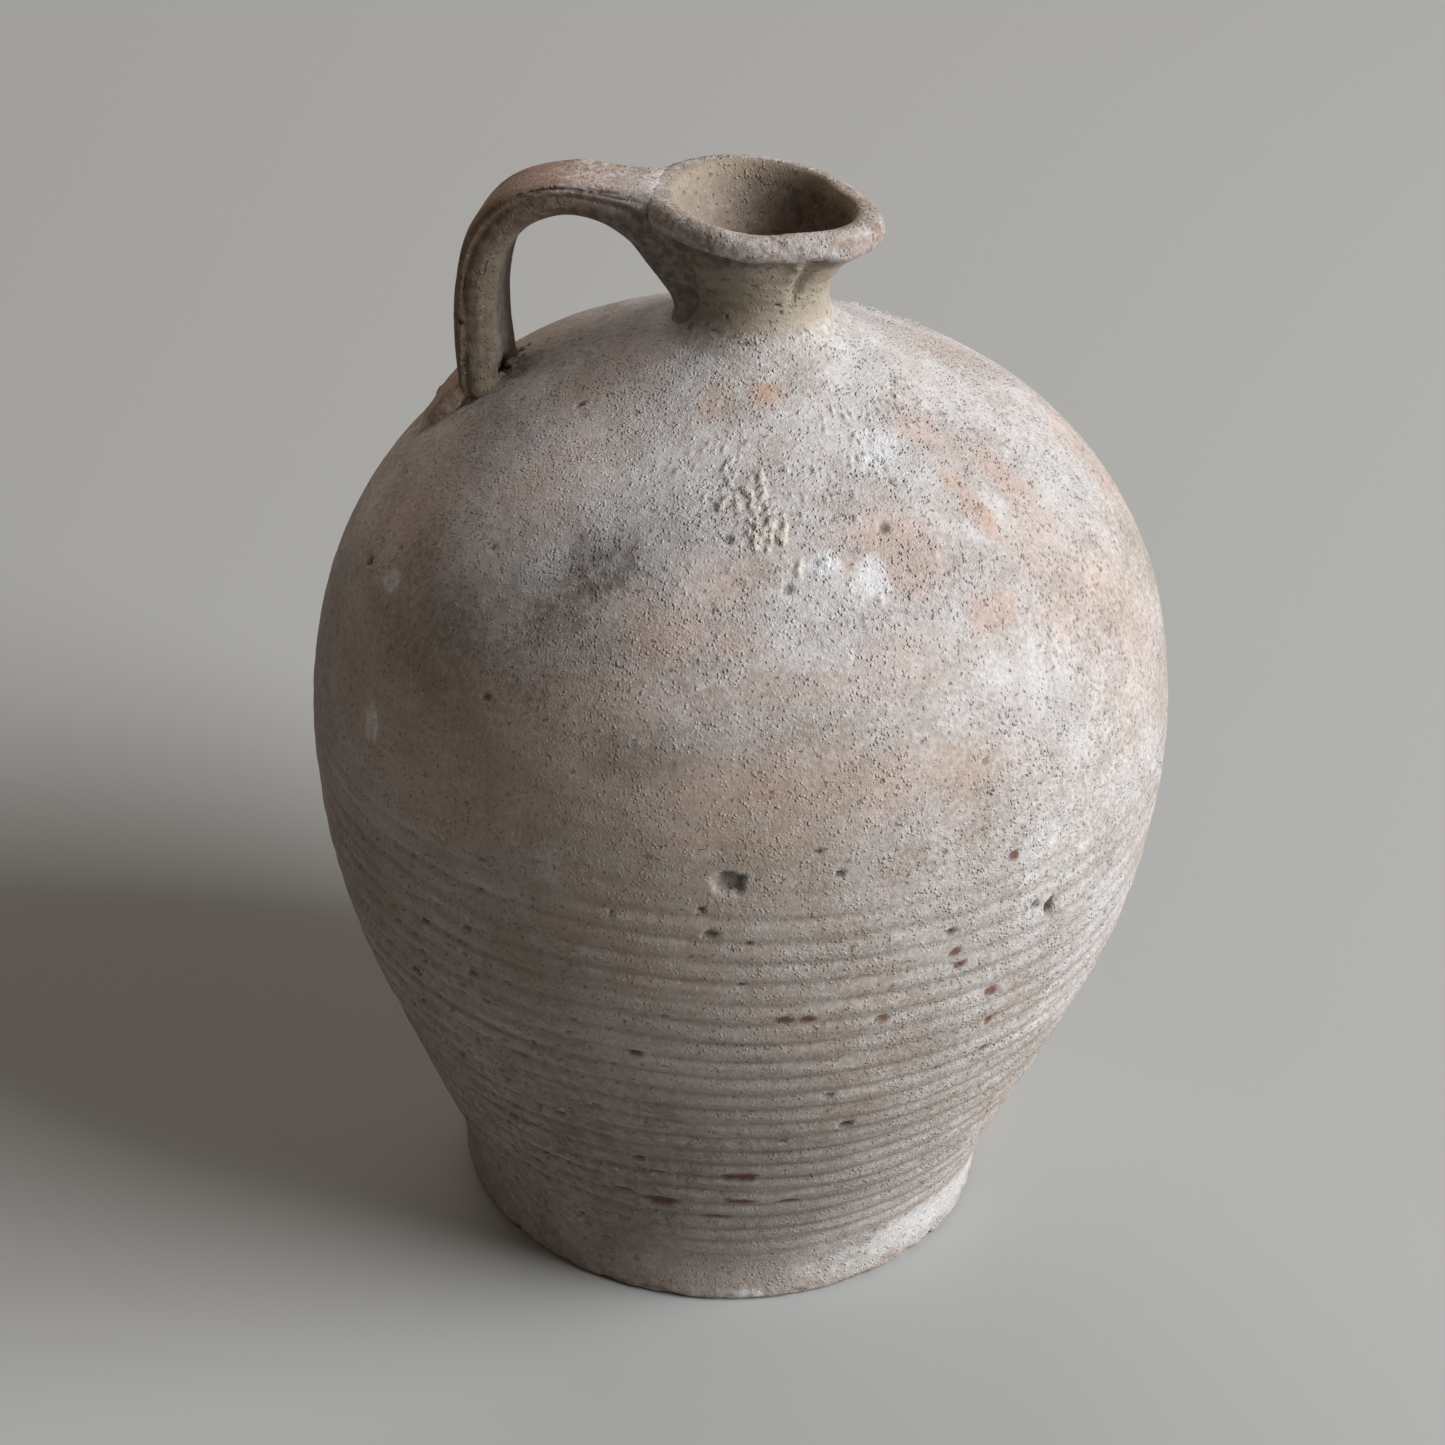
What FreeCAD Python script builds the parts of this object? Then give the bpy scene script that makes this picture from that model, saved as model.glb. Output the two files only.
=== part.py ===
import FreeCAD, Part
import math
import os

# Stoneware jug, thrown on the wheel: a hollow ovoid body on a flat foot, a short neck with a rolled
# lip drawn out into a pouring spout, and a pulled strap handle luted to the lip and the shoulder.
# Origin: centre of the foot, on the plane the jug stands on. +Z up, handle on -X, spout near +X.
# Lengths in millimetres, angles in degrees.

# Body wall
WALL = 6.5
FLOOR_THICKNESS = 9.0
FLOOR_CORNER_RADIUS = 14.0

# Foot
FOOT_RADIUS = 84.5
FOOT_EDGE = 1.5
COVE_MIDDLE_RADIUS = 85.9
COVE_MIDDLE_HEIGHT = 16.5

# Lower wall: a straight taper under a long belly arc, with the ridges left by the potter's fingers
BELLY_RADIUS = 130.0
BELLY_HEIGHT = 172.5
LOWER_ARC_RADIUS = 220.0
TAPER_ANGLE = 21.8
RING_COUNT = 19
RING_PITCH = 7.5
RING_RISE = 0.6

# Upper wall: two arcs that tighten towards the shoulder, then a straight crown up to the neck
UPPER_ARC_RADIUS = 140.0
UPPER_ARC_ANGLE = 16.0
SHOULDER_ARC_RADIUS = 102.0
SHOULDER_ARC_ANGLE = 65.0
NECK_SEAT_RADIUS = 31.0
THROAT_RADIUS = 15.5

# Neck and lip: heights above the neck's seat, with the mean radius there, and how far the spout
# has taken shape (0 round, 1 fully drawn)
NECK_OUTSIDE = (
    (0.0, 31.0, 0.0),
    (3.6, 25.6, 0.0),
    (8.6, 21.7, 0.0),
    (14.5, 20.2, 0.0),
    (21.2, 21.5, 0.15),
    (27.7, 24.5, 0.45),
    (33.2, 27.8, 0.85),
    (36.2, 30.6, 1.0),
    (39.4, 31.8, 1.0),
    (42.2, 30.9, 1.0),
    (43.4, 28.6, 1.0),
)
NECK_INSIDE = (
    (-2.0, 15.5, 0.0),
    (7.0, 14.6, 0.0),
    (15.0, 14.6, 0.0),
    (22.7, 16.9, 0.15),
    (29.7, 20.6, 0.45),
    (35.7, 23.9, 0.85),
    (40.2, 25.5, 1.0),
    (42.8, 27.1, 1.0),
    (45.5, 29.4, 1.0),
)
RIM_POINTS = 36

# Spout
SPOUT_AZIMUTH = -15.0
OVAL_STRETCH = 0.085
SPOUT_DRAW_OUTSIDE = 3.4
SPOUT_DRAW_INSIDE = 0.6
SPOUT_SPREAD = 19.0
PINCH_DEPTH_OUTSIDE = 1.6
PINCH_DEPTH_INSIDE = 2.8
PINCH_ANGLE = 44.0
PINCH_SPREAD = 20.0
LIP_LEAN = 1.3

# The lip is thicker where the handle runs into it
HANDLE_AZIMUTH = 180.0
HEEL_THICKENING = 3.4
HEEL_SPREAD = 46.0

# Strap handle: stations along its middle line as distance out from the axis, height, direction of
# travel above level, strap width and strap thickness
HANDLE_STATIONS = (
    (13.0, 306.0, 60.0, 20.0, 20.0),
    (23.5, 320.0, 46.0, 25.5, 20.5),
    (34.0, 328.6, 22.0, 26.5, 16.6),
    (46.0, 331.8, 7.0, 24.5, 11.4),
    (58.0, 331.8, -14.0, 24.0, 11.2),
    (70.4, 326.2, -38.0, 24.0, 13.6),
    (78.5, 315.6, -62.0, 24.0, 14.4),
    (81.6, 302.0, -84.0, 24.0, 14.2),
    (81.6, 288.0, -93.0, 25.0, 14.3),
    (80.4, 274.0, -96.0, 27.0, 14.6),
    (78.6, 256.0, -97.0, 29.0, 15.0),
)
STRAP_POINTS = 20
STRAP_SQUARENESS = 0.62
STRAP_GROOVE = 0.7
STRAP_GROOVE_SHARPNESS = 6

# Clay pressed against the outer face of the handle's foot and smoothed down on to the shoulder
LUTING_CENTRE_OUT = 89.5
LUTING_CENTRE_HEIGHT = 258.0
LUTING_HALF_LENGTH = 20.5
LUTING_HALF_WIDTH = 18.5
LUTING_HALF_DEPTH = 9.0
LUTING_SLOPE = 41.0

UP = FreeCAD.Vector(0, 0, 1)
ORIGIN = FreeCAD.Vector(0, 0, 0)


def at(radius, height):
    """Point of a profile in the XZ plane."""
    return FreeCAD.Vector(radius, 0, height)


def line(start, end):
    return Part.LineSegment(start, end).toShape()


def arc(centre, radius, start_angle, end_angle):
    """Arc in the XZ plane, by its centre and its end angles above level."""
    points = []
    for angle in (start_angle, (start_angle + end_angle) / 2, end_angle):
        turn = math.radians(angle)
        points.append(centre + FreeCAD.Vector(math.cos(turn), 0, math.sin(turn)) * radius)
    return Part.Arc(*points).toShape()


def turned(edges):
    """Solid turned about the jug's axis from a profile that starts and ends on the axis."""
    face = Part.Face(Part.Wire(Part.__sortEdges__(edges)))
    return Part.Solid(face.revolve(ORIGIN, UP, 360))


def start_of(edge):
    return edge.valueAt(edge.FirstParameter)


def end_of(edge):
    return edge.valueAt(edge.LastParameter)


def wall_radius(height):
    """Radius of the smooth outside at a height between the foot and the belly."""
    taper = math.radians(TAPER_ANGLE)
    taper_top = BELLY_HEIGHT - LOWER_ARC_RADIUS * math.sin(taper)
    taper_top_radius = BELLY_RADIUS - LOWER_ARC_RADIUS * (1 - math.cos(taper))
    if height < taper_top:
        return taper_top_radius - (taper_top - height) * math.tan(taper)
    drop = BELLY_HEIGHT - height
    return BELLY_RADIUS - LOWER_ARC_RADIUS + math.sqrt(LOWER_ARC_RADIUS**2 - drop**2)


def upper_wall(inset):
    """Belly, shoulder and crown edges, moved in by the inset, from the belly up to the crown's foot."""
    belly_centre = at(BELLY_RADIUS - UPPER_ARC_RADIUS, BELLY_HEIGHT)
    turn = math.radians(UPPER_ARC_ANGLE)
    shift = UPPER_ARC_RADIUS - SHOULDER_ARC_RADIUS
    shoulder_centre = belly_centre + at(math.cos(turn), math.sin(turn)) * shift
    belly = arc(belly_centre, UPPER_ARC_RADIUS - inset, 0, UPPER_ARC_ANGLE)
    shoulder = arc(shoulder_centre, SHOULDER_ARC_RADIUS - inset, UPPER_ARC_ANGLE, SHOULDER_ARC_ANGLE)
    return [belly, shoulder]


def crown_height(from_point, radius):
    """Height of the straight crown at a radius, going up from the end of the shoulder."""
    rise = math.tan(math.radians(90 - SHOULDER_ARC_ANGLE))
    return from_point.z + (from_point.x - radius) * rise


def seat_height():
    """Height of the flat ring on which the neck is luted."""
    return crown_height(end_of(upper_wall(0)[-1]), NECK_SEAT_RADIUS)


def finger_rings():
    """Low rounded ridges, one above the other, from the top of the foot's cove to the belly."""
    lowest = BELLY_HEIGHT - RING_COUNT * RING_PITCH
    edges = []
    for index in range(RING_COUNT):
        low = lowest + index * RING_PITCH
        middle = low + RING_PITCH / 2
        high = low + RING_PITCH
        points = (
            at(wall_radius(low), low),
            at(wall_radius(middle) + RING_RISE, middle),
            at(wall_radius(high), high),
        )
        edges.append(Part.Arc(*points).toShape())
    return edges


def body_outside():
    rings = finger_rings()
    foot_corner = at(FOOT_RADIUS - FOOT_EDGE, 0)
    foot_edge = at(FOOT_RADIUS, FOOT_EDGE)
    cove_middle = at(COVE_MIDDLE_RADIUS, COVE_MIDDLE_HEIGHT)
    upper = upper_wall(0)
    seat_edge = at(NECK_SEAT_RADIUS, seat_height())
    seat_centre = at(0, seat_height())
    edges = [
        line(ORIGIN, foot_corner),
        line(foot_corner, foot_edge),
        Part.Arc(foot_edge, cove_middle, start_of(rings[0])).toShape(),
    ]
    edges += rings + upper
    edges += [
        line(end_of(upper[-1]), seat_edge),
        line(seat_edge, seat_centre),
        line(seat_centre, ORIGIN),
    ]
    return turned(edges)


def body_inside():
    """Hollow of the body: smooth inner wall over a floor with a rounded corner, open at the throat."""
    lower_centre = at(BELLY_RADIUS - LOWER_ARC_RADIUS, BELLY_HEIGHT)
    lower = arc(lower_centre, LOWER_ARC_RADIUS - WALL, -TAPER_ANGLE, 0)
    taper_top = start_of(lower)
    corner_angle = math.radians((90 - TAPER_ANGLE) / 2)
    drop = taper_top.z - FLOOR_THICKNESS
    corner = at(taper_top.x - drop * math.tan(math.radians(TAPER_ANGLE)), FLOOR_THICKNESS)
    reach = FLOOR_CORNER_RADIUS * math.tan(corner_angle)
    floor_end = corner - at(reach, 0)
    turn = math.radians(TAPER_ANGLE)
    taper_foot = corner + at(math.sin(turn), math.cos(turn)) * reach
    middle_angle = -math.radians(90 + TAPER_ANGLE) / 2
    corner_centre = floor_end + at(0, FLOOR_CORNER_RADIUS)
    corner_middle = corner_centre + at(math.cos(middle_angle), math.sin(middle_angle)) * FLOOR_CORNER_RADIUS
    upper = upper_wall(WALL)
    mouth = at(THROAT_RADIUS, crown_height(end_of(upper[-1]), THROAT_RADIUS))
    top = seat_height() + WALL
    edges = [
        line(at(0, FLOOR_THICKNESS), floor_end),
        Part.Arc(floor_end, corner_middle, taper_foot).toShape(),
        line(taper_foot, taper_top),
        lower,
    ]
    edges += upper
    edges += [
        line(end_of(upper[-1]), mouth),
        line(mouth, at(THROAT_RADIUS, top)),
        line(at(THROAT_RADIUS, top), at(0, top)),
        line(at(0, top), at(0, FLOOR_THICKNESS)),
    ]
    return turned(edges)


def bump(angle, centre, spread):
    """Smooth hump of height 1 around an angle."""
    away = (angle - centre + 180) % 360 - 180
    return math.exp(-((away / spread) ** 2))


def rim_section(height, radius, drawn, draw, pinch, heel):
    """Level closed outline of the neck: round low down, oval and pinched where the spout is drawn."""
    points = []
    for index in range(RIM_POINTS):
        angle = 360.0 * index / RIM_POINTS
        stretch = 1 + OVAL_STRETCH * math.cos(math.radians(2 * angle)) * drawn
        pull = draw * bump(angle, 0, SPOUT_SPREAD)
        dent = pinch * (bump(angle, PINCH_ANGLE, PINCH_SPREAD) + bump(angle, -PINCH_ANGLE, PINCH_SPREAD))
        thicker = heel * bump(angle, HANDLE_AZIMUTH - SPOUT_AZIMUTH, HEEL_SPREAD)
        reach = radius * stretch + (pull - dent - thicker) * drawn
        turn = math.radians(angle + SPOUT_AZIMUTH)
        out = reach * math.cos(turn) - LIP_LEAN * drawn
        aside = reach * math.sin(turn)
        points.append(FreeCAD.Vector(out, aside, height))
    curve = Part.BSplineCurve()
    curve.interpolate(Points=points, PeriodicFlag=True)
    return Part.Wire(curve.toShape())


def rim_solid(stations, draw, pinch, heel=0.0):
    seat = seat_height()
    sections = []
    for rise, radius, drawn in stations:
        sections.append(rim_section(seat + rise, radius, drawn, draw, pinch, heel))
    return Part.makeLoft(sections, True, False)


def neck_outside():
    return rim_solid(NECK_OUTSIDE, SPOUT_DRAW_OUTSIDE, PINCH_DEPTH_OUTSIDE)


def neck_inside():
    return rim_solid(NECK_INSIDE, SPOUT_DRAW_INSIDE, PINCH_DEPTH_INSIDE, HEEL_THICKENING)


def strap_section(out, height, climb, width, thickness):
    """Rounded flat section of the pulled strap, square to its middle line, with a finger groove outside."""
    turn = math.radians(climb)
    across = FreeCAD.Vector(0, 1, 0)
    outward = FreeCAD.Vector(math.sin(turn), 0, math.cos(turn))
    centre = FreeCAD.Vector(-out, 0, height)
    points = []
    for index in range(STRAP_POINTS):
        angle = 2 * math.pi * index / STRAP_POINTS
        side = math.copysign(abs(math.cos(angle)) ** STRAP_SQUARENESS, math.cos(angle))
        depth = math.copysign(abs(math.sin(angle)) ** STRAP_SQUARENESS, math.sin(angle))
        groove = STRAP_GROOVE * max(0.0, math.sin(angle)) ** STRAP_GROOVE_SHARPNESS
        points.append(centre + across * (side * width / 2) + outward * (depth * thickness / 2 - groove))
    curve = Part.BSplineCurve()
    curve.interpolate(Points=points, PeriodicFlag=True)
    return Part.Wire(curve.toShape())


def strap():
    return Part.makeLoft([strap_section(*station) for station in HANDLE_STATIONS], True, False)


def luting_blob():
    """Flattened egg of clay, tilted to lie along the shoulder."""
    blob = Part.makeSphere(1.0)
    stretch = FreeCAD.Matrix()
    stretch.scale(LUTING_HALF_LENGTH, LUTING_HALF_WIDTH, LUTING_HALF_DEPTH)
    blob = blob.transformGeometry(stretch)
    blob.rotate(ORIGIN, FreeCAD.Vector(0, 1, 0), -LUTING_SLOPE)
    blob.translate(FreeCAD.Vector(-LUTING_CENTRE_OUT, 0, LUTING_CENTRE_HEIGHT))
    return blob


def body():
    return body_outside().cut(body_inside())


def neck_and_spout():
    return neck_outside().cut(neck_inside())


def handle():
    return strap().cut(neck_outside()).cut(body_outside())


def handle_foot_luting():
    return luting_blob().cut(body_outside()).cut(strap())


def main():
    os.makedirs("parts", exist_ok=True)
    for make in (body, neck_and_spout, handle, handle_foot_luting):
        make().exportStep("parts/" + make.__name__ + ".step")


main()
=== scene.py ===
import itertools
import math

import bpy
import numpy as np
from mathutils import Matrix, Vector


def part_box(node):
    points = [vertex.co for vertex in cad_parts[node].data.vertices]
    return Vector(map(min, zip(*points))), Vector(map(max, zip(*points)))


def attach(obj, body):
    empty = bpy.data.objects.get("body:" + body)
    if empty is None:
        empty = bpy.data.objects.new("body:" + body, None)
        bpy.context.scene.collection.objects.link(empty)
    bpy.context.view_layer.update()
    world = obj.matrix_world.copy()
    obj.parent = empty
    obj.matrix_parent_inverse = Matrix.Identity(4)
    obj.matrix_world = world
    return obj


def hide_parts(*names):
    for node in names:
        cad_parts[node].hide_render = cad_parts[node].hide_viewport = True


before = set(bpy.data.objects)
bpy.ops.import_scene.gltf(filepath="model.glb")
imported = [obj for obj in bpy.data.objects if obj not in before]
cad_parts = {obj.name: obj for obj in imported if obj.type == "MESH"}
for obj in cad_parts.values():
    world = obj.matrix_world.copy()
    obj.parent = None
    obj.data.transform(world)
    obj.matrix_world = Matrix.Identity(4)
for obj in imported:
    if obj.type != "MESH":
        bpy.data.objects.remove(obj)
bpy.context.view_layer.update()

# The stoneware jug's looks. Lengths are millimetres until a mesh is made, and angles are degrees.
# Azimuth is counted from +X towards +Y: the handle is at 180 and the spout near -15.
MM = 0.001
HANDLE_AZIMUTH = 180
SPOUT_AZIMUTH = -15


def box_mm(node):
    low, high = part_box(node)
    return [v / MM for v in low], [v / MM for v in high]


BODY_LOW, BODY_HIGH = box_mm("body")
NECK_LOW = box_mm("neck_and_spout")[0]

# ---- jug outline
RING_RISE = 0.6
BELLY_RADIUS = (BODY_HIGH[0] - BODY_LOW[0]) / 2 - RING_RISE
BELLY_HEIGHT = 172.5
FOOT_RADIUS = 84.5
LOWER_ARC_RADIUS = 220
TAPER_ANGLE = 21.8
UPPER_ARC_RADIUS = 140
UPPER_ARC_ANGLE = 16
SHOULDER_ARC_RADIUS = 102
SHOULDER_ARC_ANGLE = 65
SEAT_HEIGHT = NECK_LOW[2]
SEAT_RADIUS = 31
THROAT_RADIUS = 15.5
WALL = 6.5
FLOOR = 9
LOWER_ARC_POINTS = 120
UPPER_ARC_POINTS = 60
SHOULDER_ARC_POINTS = 160
SPANS_PER_POINT = 24


def arc(centre, radius, start, end, count):
    turn = np.radians(np.linspace(start, end, count))
    return np.stack([centre[0] + radius * np.cos(turn), centre[1] + radius * np.sin(turn)], 1)


def run_along(points):
    """Distance of each point along a polyline."""
    return np.concatenate([[0], np.cumsum(np.linalg.norm(np.diff(points, axis=0), axis=1))])


def even(points, step, closed=False):
    """Polyline resampled at even steps. A closed one ends one step before its first point."""
    run = run_along(points)
    wanted = np.linspace(0, run[-1], max(2, int(round(run[-1] / step)) + 1))
    if closed:
        wanted = wanted[:-1]
    return np.stack([np.interp(wanted, run, points[:, k]) for k in range(points.shape[1])], 1)


def smooth_path(points, step, closed=False):
    """Catmull-Rom curve through the points, sampled at even steps along its length."""
    points = np.asarray(points, float)
    if closed:
        padded = np.concatenate([points[-1:], points, points[:2]])
    else:
        padded = np.concatenate([2 * points[:1] - points[1:2], points, 2 * points[-1:] - points[-2:-1]])
    t = np.linspace(0, 1, SPANS_PER_POINT, endpoint=False)[:, None]
    pieces = []
    for index in range(1, len(padded) - 2):
        a, b, c, d = padded[index - 1 : index + 3]
        square = (2 * a - 5 * b + 4 * c - d) * t**2
        cube = (3 * b - a - 3 * c + d) * t**3
        pieces.append(0.5 * (2 * b + (c - a) * t + square + cube))
    if not closed:
        pieces.append(points[-1:])
    dense = np.concatenate(pieces)
    if closed:
        dense = np.concatenate([dense, dense[:1]])
    return even(dense, step, closed)


def upper_arcs(inset):
    """The wall above the belly, moved in by the inset."""
    turn = math.radians(UPPER_ARC_ANGLE)
    shift = UPPER_ARC_RADIUS - SHOULDER_ARC_RADIUS
    belly = (BELLY_RADIUS - UPPER_ARC_RADIUS, BELLY_HEIGHT)
    shoulder = (belly[0] + shift * math.cos(turn), belly[1] + shift * math.sin(turn))
    return np.concatenate([
        arc(belly, UPPER_ARC_RADIUS - inset, 0, UPPER_ARC_ANGLE, UPPER_ARC_POINTS),
        arc(shoulder, SHOULDER_ARC_RADIUS - inset, UPPER_ARC_ANGLE, SHOULDER_ARC_ANGLE,
            SHOULDER_ARC_POINTS)[1:],
    ])


def lower_arc(inset):
    """The wall just under the belly, moved in by the inset."""
    centre = (BELLY_RADIUS - LOWER_ARC_RADIUS, BELLY_HEIGHT)
    return arc(centre, LOWER_ARC_RADIUS - inset, -TAPER_ANGLE, 0, LOWER_ARC_POINTS)


def taper_to(top, height):
    """Point where the straight taper under the belly reaches a height."""
    return np.array([top[0] - (top[1] - height) * math.tan(math.radians(TAPER_ANGLE)), height])


# Points at the end of the outside outline that run on under the neck
TUCKED_POINTS = 3


def outside_outline():
    """Outside of the body from the edge of the foot to the seat of the neck."""
    belly = lower_arc(0)
    taper_foot = taper_to(belly[0], 30)
    foot = smooth_path([
        (FOOT_RADIUS - 2.6, 0), (FOOT_RADIUS - 1, 0.5), (FOOT_RADIUS, 2.2), (FOOT_RADIUS + 0.2, 6),
        (FOOT_RADIUS + 0.7, 12), (FOOT_RADIUS + 1.9, 19), taper_foot,
    ], 0.5)
    tucked = [(SEAT_RADIUS - 3.0 * step, SEAT_HEIGHT + 0.9 * step) for step in range(TUCKED_POINTS)]
    return np.concatenate([foot, belly, upper_arcs(0)[1:], tucked])


def inside_outline():
    """Inside of the body from the throat down to the centre of the floor."""
    belly = lower_arc(WALL)
    floor_edge = taper_to(belly[0], FLOOR + 12)
    throat = [(THROAT_RADIUS, SEAT_HEIGHT)]
    corner = smooth_path([floor_edge, floor_edge - (4, 8), floor_edge - (12, 12)], 2)
    return np.concatenate([throat, upper_arcs(WALL)[::-1], belly[::-1][1:], corner, [(0.5, FLOOR)]])


# ---- noise
def noise(points, size, seed):
    """Smooth noise, about -1 to 1, with lumps of the given size."""
    draw = np.random.default_rng(seed)
    order = draw.permutation(256)
    slopes = draw.normal(size=(256, 3))
    slopes /= np.linalg.norm(slopes, axis=1)[:, None]
    scaled = points / size
    cell = np.floor(scaled).astype(np.int64)
    inside = scaled - cell
    fade = inside**3 * (inside * (inside * 6 - 15) + 10)
    total = np.zeros(len(points))
    for corner in itertools.product((0, 1), repeat=3):
        index = cell + corner
        key = order[index[:, 0] & 255]
        key = order[(key + index[:, 1]) & 255]
        key = order[(key + index[:, 2]) & 255]
        weight = np.ones(len(points))
        for axis in range(3):
            weight *= fade[:, axis] if corner[axis] else 1 - fade[:, axis]
        total += weight * ((inside - corner) * slopes[key]).sum(1)
    return total * 1.7


def cloud(points, size, seed, octaves=3):
    """Several layers of noise, each half the size and half the strength of the one before."""
    total = np.zeros(len(points))
    for layer in range(octaves):
        total += noise(points, size / 2**layer, seed + 17 * layer) / 2**layer
    return total / 1.6


def ramp(value, low, high):
    """0 below low, 1 above high, smooth between."""
    t = np.clip((value - low) / (high - low), 0, 1)
    return t * t * (3 - 2 * t)


def bell(value, spread):
    """1 where the value is 0, fading to 0 well beyond the spread on both sides."""
    return np.exp(-((value / spread) ** 2))


def turn_gap(a, b):
    """Angle a less angle b, between -180 and 180."""
    return (a - b + 180) % 360 - 180


# ---- neck and lip
# Section of the neck wall: height above the seat, radius, and how far the spout's shape shows there
NECK_OUTSIDE = (
    (-3.2, 34.4, 0), (0, 31, 0), (3.6, 25.6, 0), (8.6, 21.7, 0), (14.5, 20.2, 0), (21.2, 21.5, 0.15),
    (27.7, 24.5, 0.45), (32.6, 27.1, 0.85), (34.7, 28.6, 1), (35.8, 30.5, 1), (38, 31.8, 1),
    (40.6, 31.8, 1), (42.6, 30.7, 1), (43.5, 29, 1), (43.6, 27.6, 1),
)
NECK_INSIDE = (
    (43.1, 26.4, 1), (41.6, 25.6, 1), (38, 24.4, 0.9), (32.5, 22, 0.7), (27.6, 19.6, 0.35),
    (21.5, 16.8, 0.1), (15, 14.8, 0), (7, 14.6, 0), (0, 15.5, 0), (-2.6, 20, 0), (-4.4, 30, 0),
)
# The heights of the neck's marks are for a wall this much shorter
NECK_RISE = 2.7
LIP_SHIFT = -1.3
OVAL_STRETCH = 0.085
SPOUT_DRAW_OUTSIDE = 3.4
SPOUT_DRAW_INSIDE = 0.6
SPOUT_SPREAD = 19
PINCH_DEPTH_OUTSIDE = 1.6
PINCH_DEPTH_INSIDE = 2.8
PINCH_ANGLE = 44
PINCH_SPREAD = 20
HEEL_THICKENING = 3.4
HEEL_SPREAD = 46


def neck_reach(radius, drawn, draw, pinch, azimuth):
    """Radius of the neck at an azimuth: round low down, oval and pinched where the spout is drawn."""
    angle = turn_gap(azimuth, SPOUT_AZIMUTH)
    stretch = 1 + OVAL_STRETCH * np.cos(np.radians(2 * angle)) * drawn
    pull = draw * bell(angle, SPOUT_SPREAD)
    pinched = bell(angle - PINCH_ANGLE, PINCH_SPREAD) + bell(angle + PINCH_ANGLE, PINCH_SPREAD)
    return radius * stretch + (pull - pinch * pinched) * drawn


def handle_heel(azimuth):
    """1 in the middle of the lip's thick heel, where the handle springs, fading to 0 round the lip."""
    return bell(turn_gap(azimuth, HANDLE_AZIMUTH), HEEL_SPREAD)


def sandy(points):
    """Fine gritty noise of the body, the neck and the handle."""
    return noise(points, 2.6, 31) + 0.6 * noise(points, 1.7, 32)


def clay_relief(points, lime, crust):
    """Slow warps, lumps, gritty grain and crust of the body and the neck."""
    warp = 0.75 * noise(points, 95, 1) + 0.35 * noise(points, 38, 2)
    lumps = 0.14 * cloud(points, 13, 3)
    flakes = (0.45 + 0.5 * crust) * granules(points, crust)
    return warp + lumps + (0.03 + 0.05 * lime) * sandy(points) + flakes


def granules(points, crust):
    """Grains of crust, 0 to 1, crowded where the crust is thick and scattered where it thins out."""
    grain = 0.8 * noise(points, 3.1, 33) + noise(points, 1.8, 34)
    return ramp(grain, 0.85 - 1.1 * crust, 1.35 - 1.1 * crust) * ramp(crust, 0.02, 0.3)


# ---- the jug's outer skin, for joins
BODY_SKIN = even(outside_outline()[:-TUCKED_POINTS], 1)
NECK_SKIN = smooth_path([(r, SEAT_HEIGHT + h, d) for h, r, d in NECK_OUTSIDE[1:]], 0.8)
SKIN = np.concatenate([BODY_SKIN, NECK_SKIN[:, :2]])
SKIN_DRAWN = np.concatenate([np.zeros(len(BODY_SKIN)), NECK_SKIN[:, 2]])


def skin_gap(points):
    """Distance of each point from the plain outer skin (negative inside) and the skin's normal there."""
    reach = np.hypot(points[:, 0], points[:, 1])
    azimuth = np.degrees(np.arctan2(points[:, 1], points[:, 0]))
    radii = neck_reach(
        SKIN[None, :, 0], SKIN_DRAWN[None, :], SPOUT_DRAW_OUTSIDE, PINCH_DEPTH_OUTSIDE, azimuth[:, None])
    squared = (reach[:, None] - radii) ** 2 + (points[:, 2][:, None] - SKIN[None, :, 1]) ** 2
    nearest = np.argmin(squared, axis=1)
    rows = np.arange(len(points))
    low = np.clip(nearest - 1, 0, len(SKIN) - 1)
    high = np.clip(nearest + 1, 0, len(SKIN) - 1)
    along = np.stack([radii[rows, high] - radii[rows, low], SKIN[high, 1] - SKIN[low, 1]], 1)
    along /= np.linalg.norm(along, axis=1)[:, None]
    normal_out, normal_up = along[:, 1], -along[:, 0]
    away = np.stack([reach - radii[rows, nearest], points[:, 2] - SKIN[nearest, 1]], 1)
    gap = away[:, 0] * normal_out + away[:, 1] * normal_up
    turn = np.radians(azimuth)
    normal = np.stack([normal_out * np.cos(turn), normal_out * np.sin(turn), normal_up], 1)
    return gap, normal


# ---- meshes
MASKS = "groove crust blush bloom smoke lime hole chalk iron olive toast foot".split()


def grid_faces(rows, columns, wrap_rows=False):
    """Quads of a grid whose columns close on themselves."""
    faces = []
    last = rows if wrap_rows else rows - 1
    for row in range(last):
        a = row * columns
        b = ((row + 1) % rows) * columns
        for column in range(columns):
            after = (column + 1) % columns
            faces.append((a + column, a + after, b + after, b + column))
    return faces


def capped_faces(rows, columns):
    """The grid's quads, with one face over each end."""
    faces = grid_faces(rows, columns)
    last = (rows - 1) * columns
    faces.append(tuple(range(columns))[::-1])
    faces.append(tuple(range(last, last + columns)))
    return faces


def link(thing):
    bpy.context.scene.collection.objects.link(thing)


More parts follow.
